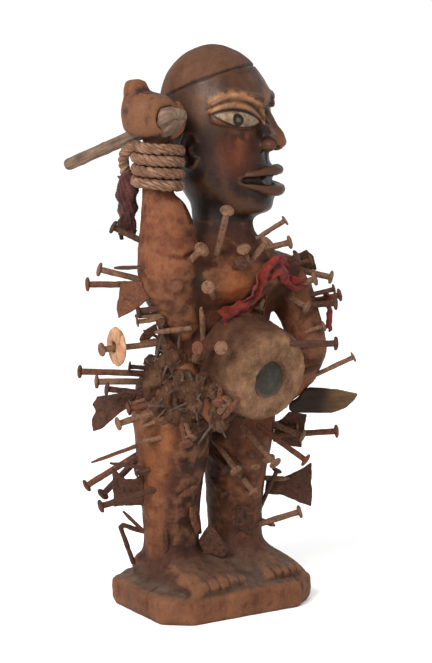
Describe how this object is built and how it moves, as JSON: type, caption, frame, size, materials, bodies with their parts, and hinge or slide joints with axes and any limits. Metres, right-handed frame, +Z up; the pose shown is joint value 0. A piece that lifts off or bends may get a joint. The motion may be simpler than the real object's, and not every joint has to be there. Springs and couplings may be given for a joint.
{
  "type": "nkisi figure",
  "caption": "Carved wooden standing power figure: right arm raised with a stick, a mirrored pack on the belly, nails and blades driven into body and legs, on its own carved base.",
  "frame": {"origin": "middle of the underside of the base", "axes": "+Z up along the figure's height, -Y to the front of the base, +X towards the figure's left side"},
  "size_m": [0.2652, 0.2458, 0.563],
  "materials": {
    "wood": "matt, earthy crust, darker and polished on the head",
    "pack_resin": "rough, gritty resin and earth",
    "mirror_glass": "old mirror, dull and dark",
    "stick_wood": "worn smooth, dusty",
    "rope": "coarse twisted fibre, dusty",
    "dark_cloth": "coarse knit",
    "red_cloth": "ragged plain weave",
    "iron": "rusty, hand-forged and wire",
    "horn": "dark horn with a golden tip",
    "bone": "stained, dull"
  },
  "bodies": {
    "root": {"figure": "wood", "belly_pack": "pack_resin", "mirror": "mirror_glass", "stick": "stick_wood", "wrist_rope": "rope", "cloth_bundle": "dark_cloth", "disc": "bone", "nail_shoulder_1": "iron", "nail_shoulder_2": "iron", "nail_shoulder_3": "iron", "nail_shoulder_4": "iron", "nail_shoulder_5": "iron", "nail_waist_1": "iron", "nail_waist_2": "iron", "nail_waist_3": "iron", "nail_hip_1": "iron", "nail_hip_2": "iron", "nail_hip_3": "iron", "nail_hip_4": "iron", "nail_hip_5": "iron", "nail_hip_6": "iron", "nail_thigh_1": "iron", "nail_thigh_2": "iron", "nail_thigh_3": "iron", "nail_thigh_4": "iron", "nail_thigh_5": "iron", "nail_shin_1": "iron", "nail_shin_2": "iron", "nail_shin_3": "iron", "nail_chest_1": "iron", "nail_chest_2": "iron", "nail_chest_3": "iron", "nail_chest_4": "iron", "nail_chest_5": "iron", "nail_left_arm_1": "iron", "nail_left_arm_2": "iron", "nail_pack_1": "iron", "nail_back_1": "iron", "nail_back_2": "iron", "nail_back_3": "iron", "nail_back_4": "iron", "nail_left_hip_1": "iron", "nail_left_hip_2": "iron", "nail_left_hip_3": "iron", "nail_left_hip_4": "iron", "nail_bent": "iron", "blade_shoulder": "iron", "blade_waist": "iron", "blade_hip": "iron", "plate_knee": "iron", "blade_left_shoulder": "iron", "horn_blade": "horn", "blade_left_hip": "iron", "blade_left_knee": "iron", "blade_shin": "iron", "blade_instep": "iron", "plate_ankle": "iron", "red_rag": "red_cloth", "red_rag_tail": "red_cloth"}
  },
  "joints": []
}
